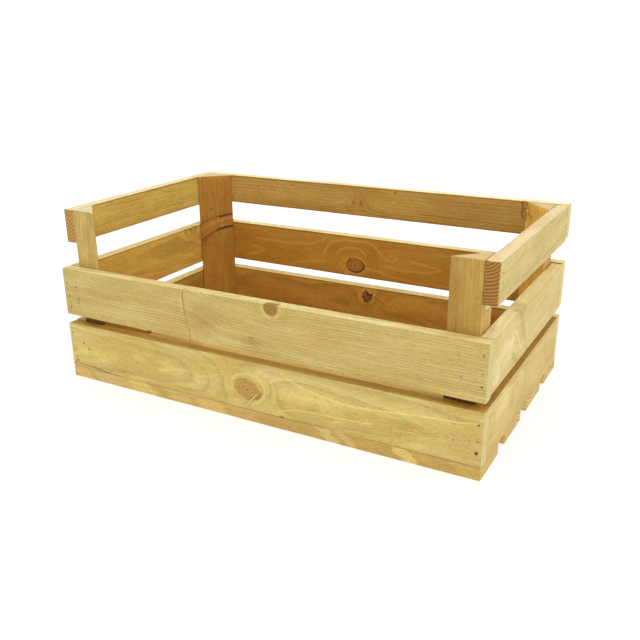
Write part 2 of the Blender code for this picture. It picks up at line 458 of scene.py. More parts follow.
def wood_material(name, wood, post=False):
    """Solid wood. Marks lie by x and z on a board, and by x and the place across the slope on a post.

    Noise scales are per mm. Fibres are far finer across the rings than along the board.
    """
    graph = Graph.for_material(name)
    where = graph.add("ShaderNodeTexCoord")
    x, y, z = [part * (1 / MM) for part in graph.split(where.outputs["Object"])]
    normals = graph.split(where.outputs["Normal"])
    seed = wood.seed * 17.3
    spot = (z - y) * DIAGONAL if post else z

    # Under -1 on the outer side and over 1 on the inner side. A post's sides differ by how they face.
    depth = (normals[1] + normals[2]) * (10 * DIAGONAL) - 5.0 if post else y

    radius = ring_radius(graph, x, y, z, spot, seed, wood)
    phase = radius / wood.spacing + (graph.noise(radius * 0.06 + seed, 0.0, 0.0) - 0.5) * (2 * wood.uneven)
    ring = phase.floor()
    part = phase.fraction()
    late = late_band(part, wood.sharp, 0.90)
    late = late * (graph.chance(ring + seed) * 0.5 + 0.5)
    veil = graph.noise(x * 0.012 + seed, z * 0.06, y * 0.06, 2.0).rise(0.32, 0.62)
    late = late * (veil * 0.6 + 0.4)

    # Fibres run with the rings, so they follow them round the knots.
    streaks = graph.noise(x * 0.010 + seed, radius * 0.42, (y + z) * 0.05, 5.0, 0.68)
    fibres = graph.noise(x * 0.020 + seed, radius * 0.85, (y + z) * 0.07, 4.0, 0.75)
    threads = graph.noise(x * 0.06 + seed, radius * 1.5, (y - z) * 0.4, 3.0, 0.8)
    speckle = graph.noise(x * 0.42 + seed, y * 0.6, z * 0.6, 3.0, 0.8)
    blotches = graph.noise(x * 0.011 + seed, z * 0.035 + 9.0, y * 0.03, 3.0, 0.6)
    warmth = graph.noise(x * 0.016 + seed + 5.0, z * 0.05, y * 0.05, 4.0, 0.6)
    ducts = graph.noise(x * 0.14 + seed, radius * 2.2, (y + z) * 0.5, 1.0).rise(0.60, 0.70)

    colour = graph.mix(blotches.rise(0.38, 0.62), screen(wood.base), screen(wood.blotch))
    colour = graph.mix(warmth.rise(0.50, 0.70) * 0.35, colour, screen(wood.warm))
    colour = graph.mix(late * wood.contrast, colour, screen(wood.line))
    shade = (streaks - 0.5) * (0.7 * wood.fibre) + (fibres - 0.5) * (1.3 * wood.fibre) + 1.0
    shade = shade + (threads - 0.5) * (2.0 * wood.fibre) + (speckle - 0.5) * (2.2 * wood.fibre)
    shade = shade + (graph.chance(ring + seed + 0.5) - 0.5) * (2 * wood.banding)
    shade = shade - ducts * (0.20 * wood.flecks)
    height = fibres * 0.7 + threads * 0.5 - late * 0.5 - ducts * 0.4

    # The four long faces' tints: painted light and shade, by the way each face looks.
    inward = (0.0, DIAGONAL, DIAGONAL) if post else (0.0, 1.0, 0.0)
    colour = tinted(graph, colour, facing(normals, inward), wood.inner)
    colour = tinted(graph, colour, facing(normals, (0.0, -1.0, 0.0)), wood.outer)
    colour = tinted(graph, colour, facing(normals, (0.0, 0.0, 1.0)), wood.top)
    colour = tinted(graph, colour, facing(normals, (0.0, 0.0, -1.0)), wood.bottom)

    # Patches lie under the fibres' shading, the other marks over it.
    if wood.stray:
        x = x + (graph.noise(x * 0.05, y * 0.20, seed, 3.0) - 0.5) * wood.stray + y * (0.04 * wood.stray)
    sides = {OUTER: depth.fall(-1.0, 1.0), BOTH: 1.0, INNER: depth.rise(-1.0, 1.0)}
    feathered = (streaks - 0.5) * 0.6
    broken = speckle.rise(0.30, 0.60) * 0.5 + 0.5
    for number, mark in enumerate(wood.marks, 1):
        if number % MARKS_AT_ONCE == 0:
            x = in_turn(x, colour)
        if isinstance(mark, Patch):
            away = oval_distance(graph, x, spot, mark, 1.1) + feathered
            cover = away.fall(1.0 - mark.soft, 1.0 + 0.4 * mark.soft) * sides[mark.side] * mark.strength
            colour = graph.mix(cover, colour, screen(mark.colour))
    colour = graph.browned(colour, shade)
    for number, mark in enumerate(wood.marks, 1):
        if number % MARKS_AT_ONCE == 0:
            x = in_turn(x, colour)
        if isinstance(mark, Knot):
            colour, height = add_knot(graph, mark, x, spot, sides[mark.side], colour, height)
        elif isinstance(mark, Vein):
            reach = vein_distance(graph, x, spot, mark).fall(0.3 * mark.width, mark.width)
            cover = reach * broken * sides[mark.side] * mark.strength
            colour = graph.mix(cover, colour, screen(mark.colour))
        elif isinstance(mark, (Chip, Dent)):
            colour = add_hole(graph, mark, x, spot, sides[mark.side], colour)

    # End grain shows the rings themselves.
    end = normals[0].absolute().rise(0.5, 0.8)
    pores = graph.noise(x * 0.1, y * 0.8 + seed, z * 0.8, 3.0, 0.7)
    end_colour = graph.mix(late_band(part, 0.25, 0.85), screen(wood.end), screen(wood.end_line))
    colour = graph.mix(end, colour, graph.scaled(end_colour, pores * 0.5 + 0.75))

    roughness = (fibres - 0.5) * 0.25 + late * -0.08 + end * 0.15 + 0.62
    return graph.finish(colour, roughness, height, depth=0.35)


def add_knot(graph, knot, x, z, showing, colour, height):
    """A knot's own rings and rays, dark rim and resin-soaked surround, over the plain wood."""
    away = oval_distance(graph, x, z, knot, knot.ragged)
    within = away.fall(0.90, 1.03)
    rings = (away * 3.2 + graph.noise(x * 0.2, z * 0.2, knot.z, 2.0) * 1.2).fraction()
    rings = late_band(rings, 0.2, 0.85)
    heart = away.fall(0.06, 0.20)
    reach = away + 0.15
    ray_x = (x - knot.x) / reach * (3.4 / knot.wide)
    ray_z = (z - knot.z) / reach * (3.4 / knot.high)
    rays = graph.noise(ray_x, ray_z, knot.x, 2.0)
    turn = graph.noise((x - knot.x) * 0.5, (z - knot.z) * 0.5, knot.x, 3.0, 0.75)
    darkness = rings * knot.bands + heart * 0.4 + rays.rise(0.58, 0.68) * 0.4
    body = graph.mix(darkness, screen(knot.colour), dimmed(knot.colour, 0.62))
    body = graph.scaled(body, turn * 1.1 + 0.5)
    rim = away.peak(0.98, 0.07)
    glow = away.peak(1.22, 0.16)
    outer_glow = away.peak(1.62, 0.09)
    colour = graph.mix((glow + outer_glow * 0.4) * showing * knot.halo, colour, screen(knot.glow))
    colour = graph.mix(within * showing * knot.tone, colour, body)
    colour = graph.mix(rim * showing * knot.rim, colour, dimmed(knot.colour, 0.45))
    return colour, height + (within * 0.35 - rings * within * 0.25 - rim * (0.9 * knot.rim)) * showing


def add_hole(graph, mark, x, z, showing, colour):
    """The dark inside of a chip or a nail hole, which is painted shade, with a faint stain round it."""
    if isinstance(mark, Chip):
        away = oval_distance(graph, x, z, mark, 0.8)
        dark = away.fall(0.55, 1.05)
        return graph.mix(dark * showing * 0.9, colour, screen(mark.colour))
    away = ((x - mark.x).squared() + (z - mark.z).squared()).root() / mark.radius
    dark = away.fall(0.85, 1.15) * 0.8 + away.fall(1.1, 2.2) * 0.16
    return graph.mix(dark * showing, colour, screen(NAIL_HOLE))


def steel_material(name, dark, bright, seed):
    """Wire-nail steel: dull, a little rusty, with the punch's scratches across the head."""
    graph = Graph.for_material(name)
    where = graph.add("ShaderNodeTexCoord")
    x, y, z = [part * (1 / MM) for part in graph.split(where.outputs["Object"])]
    mottle = graph.noise(x * 0.9 + seed, y * 0.9, z * 0.9, 4.0, 0.65)
    scratches = graph.noise(x * 6.0, y * 0.8 + seed, z * 6.0, 2.0)
    colour = graph.mix(mottle.rise(0.42, 0.6), screen(dark), screen(bright))
    colour = graph.scaled(colour, scratches * 0.5 + 0.75)
    roughness = mottle * 0.4 + scratches * 0.15 + 0.12
    return graph.finish(colour, roughness, scratches + mottle, depth=0.08, metallic=0.85, specular=0.5)


# ---------------- mesh building, in millimetres

SMOOTH_ANGLE = radians(38)

# How far in from its two ends a piece starts to narrow towards its caps, and by how much it narrows.
END_WEAR = 0.8
BOARD_END_INSET = 0.7
POST_END_INSET = 0.6

# How far the faces lie under the frame's, which leaves room for their relief.
BOARD_FACE_DROP = 0.08
POST_FACE_DROP = 0.1


def dense(start, end, spacing, features, reach):
    """Sorted places from start to end, about spacing apart, and closer round each feature."""
    count = max(2, round((end - start) / spacing))
    places = [start + (end - start) * i / count for i in range(count + 1)]
    for middle, half, fine in features:
        low, high = max(start + reach, middle - half), min(end - reach, middle + half)
        if high <= low:
            continue
        steps = max(1, round((high - low) / fine))
        places += [low + (high - low) * i / steps for i in range(steps + 1)]
    places.sort()
    closest = 0.35
    kept = [places[0]]
    for place in places[1:-1]:
        if place - kept[-1] > closest and places[-1] - place > closest:
            kept.append(place)
    return kept + [places[-1]]


def vein_gap(mark, x, z):
    """Distance of a point from a vein's nearest stretch, in mm."""
    nearest = None
    for (x0, z0), (x1, z1) in zip(mark.points, mark.points[1:]):
        run = hypot(x1 - x0, z1 - z0)
        travel = ((x - x0) * (x1 - x0) + (z - z0) * (z1 - z0)) / run ** 2
        travel = max(0.0, min(1.0, travel))
        away = hypot(x - x0 - travel * (x1 - x0), z - z0 - travel * (z1 - z0))
        nearest = away if nearest is None else min(nearest, away)
    return nearest


def hollow(mark, x, z, seed):
    """How deep one mark cuts into the surface at a point, in mm."""
    if isinstance(mark, Vein):
        wobble = mark.wobble * noise.noise(Vector((x * 0.12, z * 0.12, seed)))
        return mark.depth * max(0.0, 1 - vein_gap(mark, x + wobble, z + wobble * 0.6) / mark.width)
    if isinstance(mark, Dent):
        away = hypot(x - mark.x, z - mark.z)
        return mark.depth * max(0.0, min(1.0, (mark.radius * 1.25 - away) / (mark.radius * 0.25)))
    away = hypot((x - mark.x) / mark.wide, (z - mark.z) / mark.high)
    ragged = noise.noise(Vector((x * 0.4, z * 0.4, seed)))
    if isinstance(mark, Knot):
        return mark.pit * max(0.0, min(1.0, 1.6 * (0.62 + 0.35 * ragged - away)))
    return mark.depth * max(0.0, min(1.0, 1.5 * (1 + 0.3 * ragged - away)))


def cuts_surface(mark):
    """Whether a mark has a hollow of its own."""
    return getattr(mark, "depth", 0.0) > 0 or getattr(mark, "pit", 0.0) > 0


def span(mark):
    """The middle and half width of a hollow along the board, then across it."""
    if isinstance(mark, Vein):
        xs, zs = zip(*mark.points)
        spare = mark.width + mark.wobble
        wide, high = (max(xs) - min(xs)) / 2 + spare, (max(zs) - min(zs)) / 2 + spare
        return ((max(xs) + min(xs)) / 2, wide), ((max(zs) + min(zs)) / 2, high)
    if isinstance(mark, Dent):
        return (mark.x, mark.radius * 1.4), (mark.z, mark.radius * 1.4)
    return (mark.x, mark.wide * 1.4), (mark.z, mark.high * 1.4)


def hollows_at(wood, x):
    """The marks that cut the surface at this place along the board."""
    found = []
    for mark in wood.marks:
        if cuts_surface(mark):
            middle, half = span(mark)[0]
            if abs(x - middle) < half:
                found.append(mark)
    return found


def relief(wood, hollows, x, y, z, side):
    """How far the surface stands proud of the plain board at a point, in mm. Hollows are negative."""
    seed = wood.seed * 9.1
    height = 0.16 * noise.noise(Vector((x * 0.012 + seed, y * 0.05, z * 0.05)))
    height += 0.07 * noise.noise(Vector((x * 0.06 + seed, y * 0.3, z * 0.3)))
    for mark in hollows:
        if mark.side in (BOTH, side):
            height -= hollow(mark, x, z, seed)
    return height


def fine_places(wood):
    """Where the mesh needs more points: lists of (middle, half width, step) along and across."""
    along, across = [], []
    for mark in wood.marks:
        if cuts_surface(mark):
            step = 0.5 if isinstance(mark, Dent) else 1.0
            along.append(span(mark)[0] + (step,))
            across.append(span(mark)[1] + (step,))
    return along, across


def loft(rings):
    """A closed mesh through rings of points with one flat cap at each end."""
    shape = bmesh.new()
    made = [[shape.verts.new(point) for point in ring] for ring in rings]
    count = len(rings[0])
    for here, there in zip(made, made[1:]):
        for i in range(count):
            j = (i + 1) % count
            shape.faces.new((here[i], here[j], there[j], there[i]))
    shape.faces.new(reversed(made[0]))
    shape.faces.new(made[-1])
    bmesh.ops.recalc_face_normals(shape, faces=shape.faces)
    return shape


def finish_mesh(name, shape, material):
    """An object with a smooth-shaded mesh in metres, from a bmesh in millimetres."""
    bmesh.ops.scale(shape, vec=(MM, MM, MM), verts=shape.verts)
    mesh = bpy.data.meshes.new(name)
    shape.to_mesh(mesh)
    shape.free()
    mesh.shade_smooth()
    mesh.set_sharp_from_angle(angle=SMOOTH_ANGLE)
    mesh.materials.append(material)
    piece = bpy.data.objects.new(name, mesh)
    bpy.context.scene.collection.objects.link(piece)
    return piece


def board_rings(length, thickness, low, high, wood):
    """Rings of points along a board. low and high are its two edges' heights at either end."""
    along, across = fine_places(wood)
    ends = length / 2
    stations = dense(END_WEAR - ends, ends - END_WEAR, 7.0, along, 2.0)
    half = thickness / 2
    tall = (high[0] - low[0] + high[1] - low[1]) / 4
    rows = dense(-1.0, 1.0, 6.0 / tall, [(z / tall, h / tall, s / tall) for z, h, s in across], 0.02)
    seed = wood.seed * 3.7

    def corner(a, b, *turns):
        return [(a, b, cos(radians(turn)), sin(radians(turn))) for turn in turns]

    # Points of the outline: place on the flat rectangle, and the direction out of it.
    steps = (-1, -0.5, 0, 0.5, 1)
    outline = [(-1, b, -1, 0) for b in rows] + corner(-1, 1, 157, 135, 113)
    outline += [(a, 1, 0, 1) for a in steps] + corner(1, 1, 67, 45, 23)
    outline += [(1, b, 1, 0) for b in reversed(rows)] + corner(1, -1, -23, -45, -67)
    outline += [(-a, -1, 0, -1) for a in steps] + corner(-1, -1, -113, -135, -157)

    def ring(x, shrink):
        hollows = [] if shrink else hollows_at(wood, x)
        share = (x + ends) / length
        bottom = low[0] + (low[1] - low[0]) * share
        top = high[0] + (high[1] - high[0]) * share
        middle, reach = (top + bottom) / 2, (top - bottom) / 2
        points = []
        for a, b, out_y, out_z in outline:
            wear = 0.62 + 0.4 * noise.noise(Vector((x * 0.035 + seed, a * 7.0, b * 7.0)))
            inset = wear + shrink
            y = a * (half - inset) + out_y * wear
            z = middle + b * (reach - inset) + out_z * wear
            side = OUTER if out_y < -0.3 else INNER if out_y > 0.3 else BOTH
            rise = 0.0 if shrink else relief(wood, hollows, x, y, z, side)
            rise = min(rise, 0.0) if side == BOTH else rise - BOARD_FACE_DROP
            points.append((x, y + out_y * rise, z + out_z * rise))
        return points

    sides = [ring(x, 0.0) for x in stations]
    return [ring(-ends, BOARD_END_INSET)] + sides + [ring(ends, BOARD_END_INSET)]


def edge_heights(node, axis, middle):
    """Lower and upper edge of a frame board near each of its two ends, relative to middle, in mm."""
    points = [vertex.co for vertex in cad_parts[node].data.vertices]
    first = min(point[axis] for point in points)
    last = max(point[axis] for point in points)
    low, high = [], []
    for end in (first, last):
        near = [point.z for point in points if abs(point[axis] - end) < 2 * MM]
        low.append((min(near) - middle) / MM)
        high.append((max(near) - middle) / MM)
    return low, high


def stand_in(piece, node):
    """The piece shows instead of the frame's node, in the same place."""
    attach(piece, "root")
    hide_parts(node)


# Painted shade for a thin dark line along the edges of an inner face.
EDGE_SHADE = (104, 66, 22)

# How far in from a board's ends its nails stand, where the frame drives none.
WALL_NAIL_INSET = {"back": 28.0, "left": 14.0}
FLOOR_NAIL_INSET = 8.0

# How far each board and post is turned about Z, in degrees.
WALL_TURNS = {"front": 0, "right": 90, "back": 180, "left": 270}
POST_TURNS = {"front_left": 0, "front_right": 90, "back_right": 180, "back_left": 270}


def with_holes(wood, nails):
    """The wood with a hole punched for each nail."""
    holes = tuple(Dent(nail.x, nail.z, nail.hole, nail.sunk + 0.5) for nail in nails)
    return replace(wood, marks=wood.marks + holes)


def with_shaded_edges(wood, half_length, low, high):
    """The wood with a thin dark line of painted shade along the upper and lower edge of its inner face."""
    lines = []
    for (first, last), inset, strength in ((high, -1.7, 0.7), (low, 1.5, 0.4)):
        points = ((-half_length, first + inset), (half_length, last + inset))
        lines.append(Vein(points, 0.9, EDGE_SHADE, strength, side=INNER, wobble=0.2))
    return replace(wood, marks=wood.marks + tuple(lines))


def build_board(node, place, length, thickness, low, high, wood, nails):
    """A board in its place, with its nails in it."""
    shape = loft(board_rings(length, thickness, low, high, wood))
    piece = finish_mesh(node + "_wood", shape, wood_material(node + "_wood", wood))
    piece.matrix_world = place
    stand_in(piece, node)
    for nail in nails:
        drive(nail, place, thickness / 2)


def build_wall_board(node, wood):
    low_corner, high_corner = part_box(node)
    middle = (low_corner + high_corner) / 2
    side = node.split("_")[0]
    axis = 0 if side in ("front", "back") else 1
    size = (high_corner - low_corner) / MM
    place = Matrix.Translation(middle) @ Matrix.Rotation(radians(WALL_TURNS[side]), 4, "Z")
    nails = frame_nails(node, place) or ruled_nails(node, size[axis] / 2, size.z / 2, WALL_NAIL_INSET[side])
    wood = with_holes(wood, nails)
    low, high = edge_heights(node, axis, middle.z)
    if side in ("back", "left"):
        low, high = low[::-1], high[::-1]
        # Painted shade along the inner face's upper and lower edges.
        wood = with_shaded_edges(wood, size[axis] / 2, low, high)
    build_board(node, place, size[axis], size[1 - axis], low, high, wood, nails)


def build_floor_board(node, wood):
    low_corner, high_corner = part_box(node)
    size = (high_corner - low_corner) / MM
    half = size.y / 2
    place = Matrix.Translation((low_corner + high_corner) / 2) @ Matrix.Rotation(pi / 2, 4, "X")
    nails = ruled_nails(node, size.x / 2, half, FLOOR_NAIL_INSET)
    wood = with_holes(wood, nails)
    build_board(node, place, size.x, size.z, (-half, -half), (half, half), wood, nails)


def post_rings(length, leg, wood):
    """Rings of a right-angled triangle, with its square corner on X and its legs along +Y and +Z."""
    along, across = fine_places(wood)
    ends = length / 2
    stations = dense(END_WEAR - ends, ends - END_WEAR, 6.0, along, 2.0)
    half_slope = leg * sqrt(2) / 2

    # A mark's z on the slope counts from its middle, so the rows do too.
    rows = dense(-half_slope, half_slope, 4.0, across, 0.6)
    legs = [i / 7 for i in range(8)]
    wear = 0.7
    seed = wood.seed * 3.7

    def ring(x, shrink):
        hollows = [] if shrink else hollows_at(wood, x)
        points = []

        def put(y, z, out_y, out_z, mark_z=0.0, side=OUTER):
            rise = 0.0 if shrink else relief(wood, hollows, x, mark_z, mark_z, side)
            rise = rise - POST_FACE_DROP if side == INNER else min(rise, 0.0)
            worn = wear * (0.7 + 0.4 * noise.noise(Vector((x * 0.05 + seed, y * 0.1, z * 0.1))))
            points.append((x, y + out_y * (rise + worn - wear), z + out_z * (rise + worn - wear)))

        inset = wear + shrink
        near, far = inset, leg - inset * 2.4
        for share in legs:                       # leg along +Z, facing -Y
            put(near - wear, far + (near - far) * share, -1, 0)
        put(near - 0.7 * wear, near - 0.7 * wear, -0.7, -0.7)
        for share in legs:                       # leg along +Y, facing -Z
            put(near + (far - near) * share, near - wear, 0, -1)
        put(far + 0.92 * wear, near - 0.4 * wear, 0.9, -0.4)
        middle = (near + far) / 2 + 0.71 * wear
        reach = (far - near) / 2
        for row in rows:                         # the sawn slope, from the Y leg's end to the Z leg's end
            share = row / half_slope
            put(middle - reach * share, middle + reach * share, DIAGONAL, DIAGONAL, row, INNER)
        put(near - 0.4 * wear, far + 0.92 * wear, -0.4, 0.9)
        return points

    sides = [ring(x, 0.0) for x in stations]
    return [ring(-ends, POST_END_INSET)] + sides + [ring(ends, POST_END_INSET)]


def build_post(node, wood):
    low_corner, high_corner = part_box(node)
    place = node.removeprefix("post_")
    leg = (high_corner.x - low_corner.x) / MM
    length = (high_corner.z - low_corner.z) / MM
    corner = Vector((
        low_corner.x if "left" in place else high_corner.x,
        low_corner.y if "front" in place else high_corner.y,
        (low_corner.z + high_corner.z) / 2,
    ))
    shape = loft(post_rings(length, leg, wood))
    piece = finish_mesh(node + "_wood", shape, wood_material(node + "_wood", wood, post=True))
    upright = Matrix(((0, 1, 0, 0), (0, 0, 1, 0), (1, 0, 0, 0), (0, 0, 0, 1)))
    turn = Matrix.Rotation(radians(POST_TURNS[place]), 4, "Z")
    piece.matrix_world = Matrix.Translation(corner) @ turn @ upright
    stand_in(piece, node)


# ---------------- nails

STEEL = steel_material("nail_steel", (52, 38, 24), (104, 84, 58), 3.0)
BRIGHT_STEEL = steel_material("nail_steel_bright", (136, 130, 106), (230, 226, 208), 5.0)


@dataclass(frozen=True)
class Nail:
    """A wire nail through a board's outer face, sunk below it by so many mm, in a hole of some radius."""
    name: str
    x: float
    z: float
    sunk: float = 0.5
    hole: float = 1.2
    bright: bool = False
    node: str = ""


NAIL_LENGTH = 29.0
SHANK_RADIUS = 0.8
POINT_LENGTH = 2.2
NAIL_SIDES = 20


def nail_shape(head):
    """A nail along +Y from the middle of its head, whose radius is given."""
    profile = [(0.55 * head, 0.02), (0.85 * head, 0.08), (head, 0.28), (head, 0.62), (0.92 * head, 0.8)]
    profile += [(SHANK_RADIUS * 1.25, 0.95), (SHANK_RADIUS, 1.5)]
    profile.append((SHANK_RADIUS, NAIL_LENGTH - POINT_LENGTH))
    turns = [2 * pi * i / NAIL_SIDES for i in range(NAIL_SIDES)]
    shape = bmesh.new()
    rings = []
    for radius, along in profile:
        rings.append([shape.verts.new((radius * cos(turn), along, radius * sin(turn))) for turn in turns])
    front = shape.verts.new((0, 0, 0))
    tip = shape.verts.new((0, NAIL_LENGTH, 0))
    for i in range(NAIL_SIDES):
        j = (i + 1) % NAIL_SIDES
        shape.faces.new((front, rings[0][i], rings[0][j]))
        shape.faces.new((tip, rings[-1][j], rings[-1][i]))
        for here, there in zip(rings, rings[1:]):
            shape.faces.new((here[i], there[i], there[j], here[j]))
    bmesh.ops.recalc_face_normals(shape, faces=shape.faces)
    return shape


def drive(nail, board_place, half_thickness):
    """Put a nail into a board that stands at board_place."""
    steel = BRIGHT_STEEL if nail.bright else STEEL
    head_radius = nail.hole * 0.9
    piece = finish_mesh(nail.name, nail_shape(head_radius), steel)
    head = Vector((nail.x, nail.sunk - half_thickness, nail.z)) * MM
    piece.matrix_world = board_place @ Matrix.Translation(head)
    if nail.node:
        stand_in(piece, nail.node)
    else:
        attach(piece, "root")


BRIGHT_NAILS = (
    "front_right_upper_1", "front_right_upper_2", "front_right_upper_4", "front_right_upper_5",
    "front_right_lower_2", "front_right_lower_4", "front_right_lower_5")
WIDE_HOLE = "front_right_lower_3"


def frame_nails(board, place):
    """The nails that the frame drives through a wall board."""
    found = []
    side = board.split("_")[0]
    row = board.split("_")[-1]
    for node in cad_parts:
        parts = node.split("_")
        if parts[0] != "nail" or parts[1] != side or parts[3] != row:
            continue
        low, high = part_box(node)
        spot = place.inverted() @ ((low + high) / 2) / MM
        nail = Nail(node + "_steel", spot.x, spot.z, node=node)
        place_name = node.removeprefix("nail_")
        if place_name in BRIGHT_NAILS:
            nail = replace(nail, sunk=0.0, hole=1.15, bright=True)
        elif place_name == WIDE_HOLE:
            nail = replace(nail, sunk=0.9, hole=2.0)
        elif side == "front":
            nail = replace(nail, sunk=1.1, hole=1.15)
        else:
            nail = replace(nail, sunk=0.4, hole=1.0)
        found.append(nail)
    return found


def ruled_nails(board, half_length, half_height, inset):
    """Two nails near each end of a board that the frame drives none through, a little out of line."""
    found = []
    for end in (-1, 1):
        for step in (-1, 1):
            wobble = 2.5 * sin(len(board) * 5.1 + end * 2.3 + step * 1.7)
            x = end * (half_length - inset - wobble)
            z = step * (half_height * 0.5) + wobble
            name = f"{board}_nail_{len(found) + 1}"
            found.append(Nail(name, x, z, sunk=0.4, hole=1.2))
    return found


# ---------------- the boards of this crate

BARK = (96, 60, 26)
# Near black: painted shade inside cracks and nicks.
CRACK_SHADE = (40, 28, 16)
STRAW = (238, 214, 128)
CREAM = (234, 218, 166)
SHADE = (150, 122, 62)

# For the inner faces, darker and more orange to go with their painted shade.
AMBER = (222, 168, 66)
RUST = (128, 74, 34)


def veins(width, colour, strength, *paths, **others):
    """Veins that differ only in where they run."""
    return [Vein(path, width, colour, strength, **others) for path in paths]


def on_face(side, *marks):
    """The marks, with those that belong to a side moved to this one."""
    return tuple(replace(mark, side=side) if hasattr(mark, "side") else mark for mark in marks)


FINE = Wood(seed=1, pith=(24, -96), spacing=3.6, taper=0.012, wander=3.5, ripple=0.4, uneven=0.4,
            contrast=0.55, line=(156, 128, 64))
BROAD = Wood(seed=2, pith=(44, -8), spacing=6.5, taper=0.035, wander=7.0, contrast=0.5,
             base=(212, 188, 112), blotch=(202, 174, 92), fibre=0.25)
# Its tints paint light and shade: inner, the face that looks up here, is lightened as if lit from above.
FLOOR = Wood(seed=20, pith=(34, 14), spacing=5.0, contrast=0.45, base=(206, 178, 104),
             blotch=(196, 160, 86), line=(170, 128, 62), inner=(1.26, 1.20, 0.98), end=(210, 180, 114),
             end_line=(170, 135, 75))

# On a post, outer is the face towards -Y, bottom the face towards -Z and inner the sawn slope. The tints
# paint light and shade by the way each face looks.
POST = Wood(seed=30, pith=(30, -30), spacing=3.2, taper=0.01, wander=3.0, ripple=0.6, contrast=0.5,
            base=(206, 176, 100), blotch=(192, 158, 84), line=(160, 122, 58), inner=(0.80, 0.56, 0.30),
            bottom=(1.0, 1.0, 1.0), end=(228, 208, 160), end_line=(206, 180, 124))

FRONT_UPPER_MARKS = (
    Knot(37, 30.5, 10, 10.5, push=9, spread=2.2, tone=0.9, rim=0.1, halo=0.1, ragged=0.3, bands=0.3,
        colour=(154, 112, 44)),
    Vein(((24, 28), (29, 20), (36, 17.5)), 2.2, (226, 200, 96), 0.6),
    Vein(((42, 18), (50, 25), (51, 33)), 2.0, (226, 196, 100), 0.5),
    Patch(37, 30, 3, 4, (120, 78, 32), 0.5, soft=0.8),
    Bend(-95, -20, 18),
    Swell(-150, 10, 60, 30, -3),
    Vein(((-94, 27), (-97, 18), (-95.5, 4)), 1.8, (224, 202, 134), 0.4, wobble=2.2),
    Vein(((-91, 38), (-94, 24), (-93, 12), (-91, 2)), 1.6, (168, 116, 46), 0.85, depth=0.2, wobble=3.0),
    Vein(((-91, 2), (-90, -8), (-87, -18)), 0.9, (140, 106, 50), 0.7, wobble=3.0),
    Vein(((-87, -18), (-86, -26), (-83, -38)), 1.2, (116, 90, 36), 0.7, wobble=3.6),
    Patch(-93, 26, 2.0, 5, (206, 146, 60), 0.6),
    Patch(210, -4, 120, 44, (194, 166, 94), 0.5, soft=0.9),
    # Painted shade on the top edge beside the left post.
    Patch(-262, 40, 34, 4, (204, 162, 102), 0.5, side=BOTH),
    Patch(-70, -16, 17, 13, (188, 142, 66), 0.32, soft=0.9),
    Patch(-60, -2, 22, 20, SHADE, 0.2, soft=0.9),
    Patch(8, -17, 15, 8, (164, 132, 62), 0.5, soft=0.9),
    Patch(8, -13, 4, 1.6, (120, 92, 40), 0.5),
    Patch(1, -11, 2.5, 1.4, (204, 180, 60), 0.5),
    # Painted shade on the top edge beside the right post.
    Patch(286, 40, 14, 5, (176, 128, 60), 0.7, side=BOTH),
    # The chip and the dark line beside it are painted shade in the nick.
    Chip(-152, -33.6, 3.6, 1.6, 1.2),
    Vein(((-155, -32.6), (-150, -32.2)), 1.1, CRACK_SHADE, 0.8, wobble=0.6),
)

